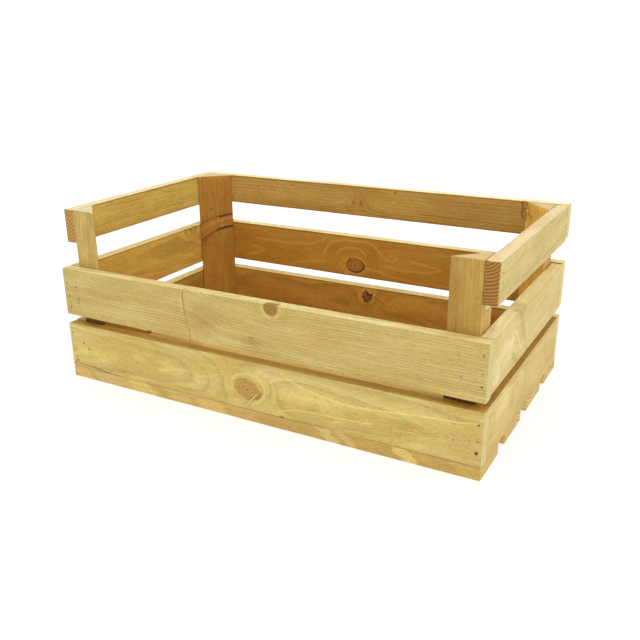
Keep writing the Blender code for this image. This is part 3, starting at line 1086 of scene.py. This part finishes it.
KNOT_SPLIT = ((13, -10), (3, -21), (-7, -33))
FRONT_LOWER_MARKS = (
    Knot(-1, -6, 19, 13.5, push=15, spread=2.3, tone=0.85, rim=0.2, halo=0.1, bands=0.5, lean=0.16,
        ragged=0.2, colour=(184, 144, 62)),
    Vein(((3, -16), (12, -15), (18, -12), (20, -7)), 2.2, (142, 96, 42), 0.65),
    Patch(13, -11, 6, 5, (156, 110, 50), 0.5, soft=0.8),
    Vein(((-22, 6), (-14, 12), (-4, 15), (6, 15), (14, 12.5), (20, 8), (24, 2), (25, -5), (23, -12),
        (17, -19), (6, -26)), 2.4, (232, 206, 108), 0.55, wobble=0.6),
    Vein(((28, 13), (32, 8), (35, 0), (30, -12)), 1.7, (170, 136, 66), 0.6),
    Vein(((35, 11), (38, 5), (39.5, -2), (39, -10), (36, -17)), 1.8, (232, 208, 118), 0.45, wobble=0.6),
    Vein(((18, 3), (22, -2), (21, -10)), 1.4, (166, 126, 56), 0.6),
    Vein(KNOT_SPLIT, 2.4, (154, 112, 50), 0.6),
    Vein(KNOT_SPLIT, 1.0, (238, 214, 130), 0.85, depth=0.4),
    Patch(22, 22, 12, 5, (218, 194, 148), 0.5, soft=0.8),
    Patch(40, 15, 9, 5, (218, 194, 148), 0.45, soft=0.8),
    Patch(92, 1, 38, 10, (232, 206, 116), 0.5, soft=0.9),
    Vein(((58, 21), (70, 16), (84, 12), (100, 9), (116, 6.5), (133, 4.5)), 1.5, STRAW, 0.6, wobble=0.6),
    Vein(((133, 4.5), (150, 4.6), (168, 6), (186, 8), (204, 10)), 1.5, STRAW, 0.65, wobble=0.6),
    Vein(((204, 10), (226, 12.5), (250, 14.5), (272, 15.5), (294, 19)), 1.4, STRAW, 0.65, wobble=0.6),
    Patch(190, 4, 70, 4, (228, 202, 112), 0.35, soft=0.9),
    Vein(((44, -26), (56, -21.5), (70, -18), (86, -16.5), (104, -16), (130, -15), (170, -12)), 1.4, STRAW,
        0.55, wobble=0.6),
    Vein(((20, -33), (60, -33), (100, -31), (160, -30)), 1.4, (164, 128, 62), 0.5),
    Patch(49, -32.6, 4, 2.2, (84, 56, 22), 0.95),
    Vein(((196, -13), (232, -10)), 1.4, STRAW, 0.35),
    Patch(219, -6, 9, 3, (206, 152, 76), 0.45),
    Patch(246, -5, 20, 4, (206, 154, 78), 0.4, soft=0.8),
    Patch(278, -8, 32, 26, (190, 158, 88), 0.6, soft=0.9),
    Vein(((-143, -9), (-122, -4), (-104, -1)), 1.3, STRAW, 0.5),
    Vein(((-104, -1), (-92, 0), (-76, -4), (-57, 0), (-41, 6)), 1.6, STRAW, 0.35),
    Vein(((-76, 12), (-60, 15), (-44, 14)), 1.8, STRAW, 0.25),
    Patch(-278, -8, 14, 6, (232, 204, 98), 0.5),
    Patch(-236, -8, 26, 9, (224, 194, 92), 0.45),
    Patch(-176, 2, 12, 5, (226, 196, 96), 0.4),
    Vein(((-297, -30), (-291, -23), (-286, -29), (-257, -30), (-230, -33)), 1.8, (136, 88, 32), 0.85,
        depth=0.3, wobble=2.2),
    Vein(((-290, -30), (-272, -31), (-250, -34)), 1.2, (228, 186, 106), 0.6),
    # Painted shade on the top edge in the gap, beside the two posts.
    Patch(272, 40, 46, 6, (92, 54, 20), 0.75, soft=0.6, side=BOTH),
    Patch(-262, 40, 34, 5, (132, 92, 40), 0.7, soft=0.6, side=BOTH),
)

BACK_LOWER_MARKS = on_face(INNER,
    Patch(-100, 15, 54, 14, (214, 158, 66), 0.7, soft=0.9),
    Knot(-6, 17, 8.5, 8.5, push=10, spread=2.6, tone=0.7, rim=0.5, halo=0.5, ragged=1.1, pit=1.2,
        colour=(116, 70, 32), glow=AMBER),
    # The near-black veins are painted shade inside the knot's cracks.
    Vein(((-4.5, 27), (-8.5, 19.5), (-15, 22)), 2.2, CRACK_SHADE, 0.9, depth=0.8, wobble=1.0),
    Vein(((-13.5, 20), (-14.5, 15), (-10, 13)), 2.0, CRACK_SHADE, 0.85, depth=0.6, wobble=1.0),
    Vein(((0, 16), (-4, 9)), 2.4, (108, 40, 26), 0.8, wobble=1.0),
    Vein(((0.5, 7.5), (-5, 10), (-8.5, 6)), 1.5, CRACK_SHADE, 0.8, wobble=1.0),
    Vein(((7, 21), (8, 11), (0.5, 4)), 1.7, AMBER, 0.7),
    Vein(((-17.5, 24), (-30, 16), (-42, 10)), 1.5, AMBER, 0.6),
    Vein(((-19, 19.5), (-34, 10)), 1.5, (118, 70, 30), 0.6),
)

BACK_UPPER_MARKS = on_face(INNER,
    Knot(15, -13.5, 15, 11.5, push=16, spread=2.6, tone=0.8, rim=0.75, halo=0.45, bands=0.35,
        colour=(166, 108, 40), glow=AMBER),
    Vein(((20, -13.5), (18.5, -9.8), (15, -8.3), (11.5, -9.8), (10, -13.5), (11.5, -17), (15, -18.6),
        (18.5, -17), (20, -13.5)), 1.3, (196, 138, 56), 0.7, wobble=0.6),
    Vein(((25, -22), (16, -24.5), (6, -23), (0, -17), (1, -10)), 2.2, (84, 44, 20), 0.7),
    Vein(((25, 0), (23, -5), (26, -8)), 1.6, (92, 52, 24), 0.6),
    Patch(-44, 5, 13, 7, (198, 148, 66), 0.5, soft=0.8),
    # An orange band along the lower edge, a painted warm glint.
    Patch(110, -31, 52, 5, (214, 132, 54), 0.5),
    Patch(0, -13, 3, 4, (84, 44, 28), 0.7),
    *veins(3.0, AMBER, 0.5, ((46, 3), (40, 9), (28, 14), (13, 15), (2, 10), (-3, 3)),
        ((71, -4.5), (69, 4), (61, 16), (53, 21), (34, 25.5), (-8, 26), (-18, 20), (-27, 12)),
        ((198, 10), (148, 8.6), (94, 12), (73, 21), (68, 24))),
    *veins(2.8, AMBER, 0.45, ((206, -3), (181, -8), (191, -13), (217, -19)),
        ((130, -24), (100, -18), (70, -13))),
    Vein(((42, -3), (33, -4), (42, -15.5), (29, -28.5)), 2.2, AMBER, 0.4),
    Vein(((-27, 12), (-38, 1), (-48, 0.5), (-56, 5.5), (-53, 10)), 2.8, AMBER, 0.45),
    Vein(((-80, 4), (-104, 1), (-128, -3), (-105, -10), (-65, -12), (-36, -8)), 3.0, AMBER, 0.5),
    Vein(((-7, -16), (-49, -24), (-90, -28), (-137, -27)), 2.8, AMBER, 0.45),
)

BACK_RAIL_MARKS = on_face(INNER,
    Patch(150, 0, 60, 20, (204, 160, 86), 0.4, soft=0.9),
    Patch(226, -6, 40, 20, (204, 166, 88), 0.3, soft=0.9),
    Patch(-170, 0, 80, 24, (160, 114, 52), 0.35, soft=0.9),
    Patch(36, 6, 26, 18, (196, 158, 84), 0.4, soft=0.9),
    Patch(11, 1, 15, 20, (184, 134, 54), 0.5, soft=0.8),
    Patch(12, -20, 16, 5, (216, 140, 66), 0.6, soft=0.8),
    Patch(19, -3, 4, 4, (140, 94, 26), 0.75, soft=0.8),
    Patch(6, -2, 4, 5.5, (136, 90, 24), 0.7, soft=0.8),
    Vein(((26, -8), (22, 2), (18, 8), (24, 15)), 2.2, (206, 158, 66), 0.6, wobble=2.0),
    Vein(((13, 16), (6, 7), (0, -4), (-4, -8)), 2.0, (204, 154, 68), 0.55, wobble=2.0),
    Vein(((9, 15), (2, 5), (-5, -3), (-8, -12)), 1.5, (150, 102, 40), 0.6, wobble=2.0),
    Vein(((17, 12), (10, 4), (14, -6), (10, -14)), 1.6, (208, 146, 64), 0.5, wobble=2.0),
    Vein(((30, -4), (30, -12), (22, -18)), 1.5, (130, 80, 34), 0.5, wobble=3.0),
    Vein(((-8, 19), (-2, 13), (6, 19)), 1.6, (204, 152, 72), 0.4, wobble=2.0),
    Vein(((52, 0), (44, -6), (36, -2)), 1.4, (212, 176, 100), 0.5, wobble=3.0),
    Patch(-50, 18, 2.2, 2, (108, 66, 28), 0.8),
    Patch(-47, 4, 4, 2.4, (212, 168, 96), 0.5),
    Swell(6, -2, 26, 18, 7),
    Vein(((-89, -10), (-139, -10.5), (-193, -12), (-239, -14)), 1.2, RUST, 0.6),
    Vein(((-240, 22), (-237, 20), (-239, 16), (-241, 12), (-238, 6), (-241, 0)), 1.5, (100, 58, 26), 0.8,
        depth=0.5),
    Patch(184, 8, 1.6, 1.3, CREAM, 0.5),
    Patch(196, 12, 1.6, 1.3, CREAM, 0.5),
)

LEFT_LOWER_MARKS = (
    # A near-white painted highlight along the top edge.
    Vein(((-180, 39), (180, 39)), 1.6, (255, 252, 236), 0.9, wobble=0.0),
)

LEFT_UPPER_MARKS = (
    Knot(-120, 14, 11, 9, push=5, tone=0.6, rim=0.4),
    Swell(-90, 26, 16, 12, 9),
    *veins(1.5, (104, 62, 26), 0.75, ((-74, 36), (-80, 30), (-78, 24)),
        ((-88, 34), (-90, 28), (-97, 31), (-95, 24)), side=INNER, wobble=2.5),
    Vein(((-100, 34), (-107, 29), (-104, 22)), 1.5, (104, 62, 26), 0.7, side=INNER, wobble=2.5),
    Vein(((-80, 20), (-84, 14), (-92, 16)), 1.1, (150, 100, 44), 0.5, side=INNER, wobble=2.5),
    Patch(101, 2, 44, 12, (206, 142, 60), 0.4, soft=0.9, side=INNER),
    Patch(40, -24, 70, 8, (196, 128, 52), 0.45, soft=0.9, side=INNER),
    # A near-white painted highlight along the top edge.
    Vein(((-180, 38.6), (180, 38.6)), 1.6, (255, 252, 236), 0.9, wobble=0.0),
)

RIGHT_LOWER_MARKS = (
    Knot(-34, 12, 15, 9, push=14, spread=2.5, tone=0.15, rim=0.0, halo=0.3, colour=(206, 166, 106)),
    Vein(((112, -8), (102, -15)), 1.3, (120, 84, 40), 0.85),
    Vein(((-33, 27), (-46, 21), (-61, 19), (-76, 22), (-92, 27), (-106, 26), (-116, 20), (-121, 10),
        (-120, -4)), 2.6, (236, 214, 146), 0.32, wobble=3.0),
    Vein(((-24, 22), (-34, 15), (-38, 6), (-37, -2), (-42, -9), (-52, -14)), 2.6, (230, 204, 138), 0.28,
        wobble=3.0),
    Vein(((-1, 1), (-7, -6), (-16, -12), (-30, -16)), 3.4, (160, 126, 64), 0.4, wobble=3.0),
    Vein(((-50, 22), (-60, 14), (-61, 4), (-70, -6)), 3.0, (172, 140, 74), 0.32, wobble=3.0),
    Vein(((-28, 2), (-44, -4), (-62, -18)), 2.0, (196, 148, 80), 0.4, wobble=3.0),
    Patch(-95, 12, 24, 12, (228, 202, 138), 0.4, soft=0.8),
)

RIGHT_UPPER_MARKS = (
    Patch(-150, 42, 20, 6, (232, 206, 164), 0.7, side=BOTH),
    Knot(-88, 3, 17, 12, push=14, spread=2.2, tone=0.15, rim=0.0, halo=0.3, colour=(220, 188, 134)),
    Patch(-112, 2, 42, 18, (228, 208, 150), 0.5, soft=0.9),
    Patch(-88, 4, 14, 7, (238, 212, 172), 0.7, soft=0.8),
    Patch(-140, -20, 16, 12, (234, 212, 164), 0.5, soft=0.9),
    Vein(((-62, 36), (-50, 22), (-40, 6), (-30, -8)), 7.0, (156, 130, 72), 0.45),
    Vein(((-42, 5), (-24, -14), (-14, -29)), 6.0, (172, 142, 80), 0.4),
    Vein(((-81, -12), (-66, -24), (-52, -34)), 5.0, (150, 128, 66), 0.45),
    Vein(((-70, 12), (-56, -4), (-44, -18)), 3.0, (240, 220, 158), 0.45),
    Patch(-46, 28, 16, 8, (160, 132, 72), 0.45, soft=0.8, side=BOTH),
)

# The tints set here paint light and shade: the tops lighter as if lit from above, most of all on the back
# boards and rails, the inner faces darker and browner as if shaded, and the tops of the lower front and
# right slats dark as if shaded by the slat above.
FRONT_ENDS = {"end": (206, 192, 134), "end_line": (180, 160, 100)}
BACK_FACES = {"top": (1.5, 1.72, 2.6), "end": (216, 200, 140), "end_line": (196, 174, 112)}
WALLS = {
    "front_slat_upper": replace(
        FINE, seed=1, spacing=3.3, sharp=0.6, contrast=0.68, fibre=0.24, line=(140, 116, 58),
        outer=(0.93, 0.92, 0.86), top=(1.26, 1.36, 1.62), marks=FRONT_UPPER_MARKS, **FRONT_ENDS),
    "front_slat_lower": replace(
        BROAD, seed=2.3, pith=(46, -6), base=(212, 190, 114), outer=(0.94, 0.95, 0.92),
        top=(0.94, 0.75, 0.36), marks=FRONT_LOWER_MARKS, **FRONT_ENDS),
    "back_slat_lower": replace(
        BROAD, seed=3.1, pith=(-52, 4), inner=(0.84, 0.575, 0.255), marks=BACK_LOWER_MARKS,
        **BACK_FACES),
    "back_slat_upper": replace(
        BROAD, seed=4.6, pith=(-48, -6), spacing=7.5, contrast=0.6, line=(228, 196, 120),
        inner=(0.76, 0.5, 0.165), marks=BACK_UPPER_MARKS, **BACK_FACES),
    "back_top_rail": replace(
        FINE, seed=5.2, pith=(-30, 60), spacing=4.2, contrast=0.5, line=(150, 116, 62),
        inner=(0.85, 0.655, 0.34), top=(1.6, 1.84, 3.3), marks=BACK_RAIL_MARKS),
    "left_slat_lower": replace(
        BROAD, seed=6.4, pith=(50, 10), inner=(0.64, 0.44, 0.14), top=(1.35, 1.45, 1.8),
        marks=LEFT_LOWER_MARKS),
    "left_slat_upper": replace(
        BROAD, seed=7.7, pith=(-44, 12), inner=(0.98, 0.8, 0.45), top=(1.35, 1.45, 1.9),
        marks=LEFT_UPPER_MARKS),
    "left_top_rail": replace(
        FINE, seed=8.3, pith=(-22, 34), spacing=4.2, contrast=0.35, inner=(0.98, 0.86, 0.51),
        top=(1.5, 1.74, 2.9), end=(188, 146, 74), end_line=(150, 104, 50)),
    "right_slat_lower": replace(
        BROAD, seed=9.9, pith=(40, 6), spacing=5.0, contrast=0.35, fibre=0.2, outer=(0.89, 0.89, 0.9),
        top=(0.7, 0.5, 0.28), marks=RIGHT_LOWER_MARKS),
    "right_slat_upper": replace(
        FINE, seed=10.5, pith=(30, 74), spacing=4.6, sharp=0.5, contrast=0.3, fibre=0.2,
        outer=(0.96, 0.98, 1.03), top=(1.42, 1.52, 2.1), marks=RIGHT_UPPER_MARKS),
    "right_top_rail": replace(
        FINE, seed=11.8, pith=(9, 31), spacing=3.5, sharp=0.4, contrast=0.4, ripple=0.9, fibre=0.26,
        outer=(0.9, 0.92, 0.94), top=(1.32, 1.36, 2.1), end=(172, 122, 50), end_line=(118, 74, 26)),
}

FRONT_FLOOR_MARKS = on_face(BOTH,
    Patch(-284, 33, 18, 12, (226, 186, 110), 0.6),
    *veins(1.6, (120, 76, 30), 0.8, ((-276, 40), (-271, 40)), ((-263, 40), (-259, 40)), wobble=0.5),
    Patch(-235, 33, 28, 30, (212, 186, 126), 0.6),
    Patch(-176, 36, 30, 14, (234, 202, 118), 0.6, soft=0.3),
    Patch(-110, 33, 24, 20, (214, 186, 112), 0.6),
    Patch(-60, 36, 24, 14, (228, 196, 114), 0.5, soft=0.4),
    Patch(-10, 33, 26, 20, (208, 174, 98), 0.4),
    Patch(112, 33, 9, 20, (226, 200, 136), 0.5, soft=0.3),
    Patch(138, 33, 7, 20, (226, 196, 128), 0.45, soft=0.3),
    Patch(170, 33, 16, 20, (200, 160, 88), 0.4),
    Patch(212, 37, 14, 9, (232, 204, 122), 0.6, soft=0.3),
    Patch(240, 33, 10, 20, (200, 158, 86), 0.4),
    Patch(284, 33, 16, 20, (204, 174, 96), 0.5),
)

# The floor boards' tints paint light and shade on their faces, as on the walls.
FLOORS = {
    "floor_board_front": replace(
        FLOOR, seed=20.7, top=(0.94, 0.92, 0.76), base=(198, 167, 90), spacing=3.0, blotch=(198, 164, 90),
        stray=26.0, marks=FRONT_FLOOR_MARKS),
    "floor_board_mid_front": replace(FLOOR, seed=21.9, pith=(-30, -10)),
    "floor_board_mid_back": replace(FLOOR, seed=23.1, pith=(46, 4)),
    "floor_board_back": replace(FLOOR, seed=24.4, pith=(28, -18)),
}

FRONT_LEFT_POST_MARKS = (
    # A long dark band of painted shade on the outer face, where it shows through the gap between the front
    # slats.
    Patch(-38, 0, 14, 300, (96, 56, 14), 0.9, soft=0.3),
    Patch(43, 12, 8, 22, (188, 136, 62), 0.45, soft=0.9),
)

FRONT_RIGHT_POST_MARKS = (
    # A long dark band of painted shade on the outer face, where it shows through the gap between the front
    # slats.
    Patch(-38, 0, 14, 300, (90, 50, 20), 0.9, soft=0.3),
    Patch(58, -17, 4, 8, (246, 230, 184), 0.7),
)

BACK_RIGHT_POST_MARKS = on_face(INNER,
    Patch(100, -24, 14, 6, (190, 128, 52), 0.6, soft=0.8),
    # A near-white painted highlight by the crack.
    Patch(100, -24.5, 2.4, 2.4, (252, 222, 160), 0.9),
    Vein(((113, -28), (111, -25), (108, -26), (109, -29)), 1.4, (104, 60, 28), 0.85, wobble=1.0),
    Vein(((107, -28), (103, -26.5), (99, -28.5), (95, -26), (90, -28), (86, -27)), 1.7, (100, 56, 24),
        0.85, wobble=2.0),
    Vein(((98, -24), (95, -18), (92, -10)), 1.5, (122, 72, 34), 0.8, wobble=2.5),
)

BACK_LEFT_POST_MARKS = on_face(INNER,
    Patch(32, 2, 10, 26, (190, 128, 54), 0.45, soft=0.8),
    Vein(((33, -28), (41, -14), (44, 0), (46, 16), (48, 31)), 2.6, BARK, 0.55, wobble=2.0),
    # The near-black veins are painted shade inside the two cracks.
    Vein(((44, 6), (46.5, 20), (48, 31)), 2.3, CRACK_SHADE, 0.9, depth=0.7, wobble=1.2),
    Vein(((6, -28), (18, -8), (24, 8), (27, 31)), 2.8, BARK, 0.6, wobble=2.0),
    Vein(((22, 0), (26, 16), (27.5, 31)), 2.6, CRACK_SHADE, 0.9, depth=0.8, wobble=1.2),
    Vein(((16, -28), (27, -8), (33, 10), (38, 31)), 1.8, (146, 94, 40), 0.45, wobble=2.4),
    Vein(((24, -28), (34, -8), (39, 10), (42, 31)), 2.2, (206, 144, 64), 0.6, wobble=2.4),
    *veins(1.6, (100, 60, 26), 0.65, ((-2, -26), (7, -24)), ((1, -21), (11, -20)), ((5, -17), (14, -15)),
        ((9, -12), (16, -10))),
    # Dark lines of painted shade along both edges of the slope, where it meets the boards.
    Vein(((-113, -29.3), (113, -29.3)), 1.2, (96, 58, 24), 0.7, wobble=0.4),
    Vein(((-113, 29.3), (113, 29.3)), 1.0, (110, 70, 30), 0.5, wobble=0.4),
)

# The posts' tints paint light and shade on their faces, as on the boards.
POSTS = {
    "post_front_left": replace(
        POST, seed=31.2, bottom=(0.92, 0.95, 0.86), end=(238, 230, 190), marks=FRONT_LEFT_POST_MARKS),
    "post_front_right": replace(
        POST, seed=32.6, pith=(-36, 44), base=(198, 162, 88), blotch=(186, 146, 74), fibre=0.2,
        contrast=0.3, outer=(0.83, 0.78, 0.54), bottom=(1.0, 1.06, 1.0), end=(222, 190, 130),
        marks=FRONT_RIGHT_POST_MARKS),
    "post_back_right": replace(
        POST, seed=33.3, pith=(8, 50), inner=(1.46, 1.26, 0.72), end=(224, 196, 138),
        marks=BACK_RIGHT_POST_MARKS),
    "post_back_left": replace(
        POST, seed=34.8, pith=(52, 40), inner=(0.74, 0.5, 0.17), spacing=2.2, contrast=0.45,
        marks=BACK_LEFT_POST_MARKS),
}

for board_name, board_wood in WALLS.items():
    build_wall_board(board_name, board_wood)
for board_name, board_wood in FLOORS.items():
    build_floor_board(board_name, board_wood)
for post_name, post_wood in POSTS.items():
    build_post(post_name, post_wood)

# ---------------- floor, light and camera

FLOOR_SIZE = 40.0
FLOOR_GREY = (0.70, 0.70, 0.70, 1.0)
FLOOR_GLOW = 0.42

# The crate's underside is uneven, and the floor lies just under its lowest points.
FLOOR_HEIGHT = -0.2 * MM

KEY_PLACE = (2.4, -0.8, 1.9)
KEY_TARGET = (0.0, 0.0, 0.1)
KEY_SIZE = 1.6
KEY_WATTS = 20.0

CAMERA_PLACE = (0.496, -0.8905, 0.456)
CAMERA_YAW = 29.49
CAMERA_PITCH = -20.66
CAMERA_ROLL = -0.67
CAMERA_LENS = 43.25
CAMERA_SHIFT = (0.0149, 0.0075)


def stage_floor():
    bpy.ops.mesh.primitive_plane_add(size=FLOOR_SIZE, location=(0.0, 0.0, FLOOR_HEIGHT))
    floor = bpy.context.object
    floor.name = "studio_floor"
    graph = Graph.for_material("studio_floor")
    floor.data.materials.append(graph.finish(FLOOR_GREY, 0.9, specular=0.0, glow=FLOOR_GLOW))


def key_light():
    lamp = bpy.data.lights.new("key", "AREA")
    lamp.shape = "DISK"
    lamp.size = KEY_SIZE
    lamp.energy = KEY_WATTS
    light = bpy.data.objects.new("key", lamp)
    light.location = KEY_PLACE
    light.rotation_euler = (Vector(KEY_TARGET) - Vector(KEY_PLACE)).to_track_quat("-Z", "Y").to_euler()
    bpy.context.scene.collection.objects.link(light)


def studio():
    stage_floor()
    world = bpy.data.worlds.new("studio")
    world.use_nodes = True
    background = world.node_tree.nodes["Background"]
    background.inputs["Color"].default_value = WHITE
    background.inputs["Strength"].default_value = 1.0
    bpy.context.scene.world = world
    key_light()
    bpy.context.scene.view_settings.view_transform = "Standard"


def photo_camera():
    lens = bpy.data.cameras.new("camera")
    lens.lens = CAMERA_LENS
    lens.shift_x, lens.shift_y = CAMERA_SHIFT
    camera = bpy.data.objects.new("camera", lens)
    yaw = Matrix.Rotation(radians(CAMERA_YAW), 4, "Z")
    pitch = Matrix.Rotation(radians(90 + CAMERA_PITCH), 4, "X")
    roll = Matrix.Rotation(radians(CAMERA_ROLL), 4, "Z")
    camera.matrix_world = Matrix.Translation(CAMERA_PLACE) @ yaw @ pitch @ roll
    bpy.context.scene.collection.objects.link(camera)
    bpy.context.scene.camera = camera


studio()
photo_camera()
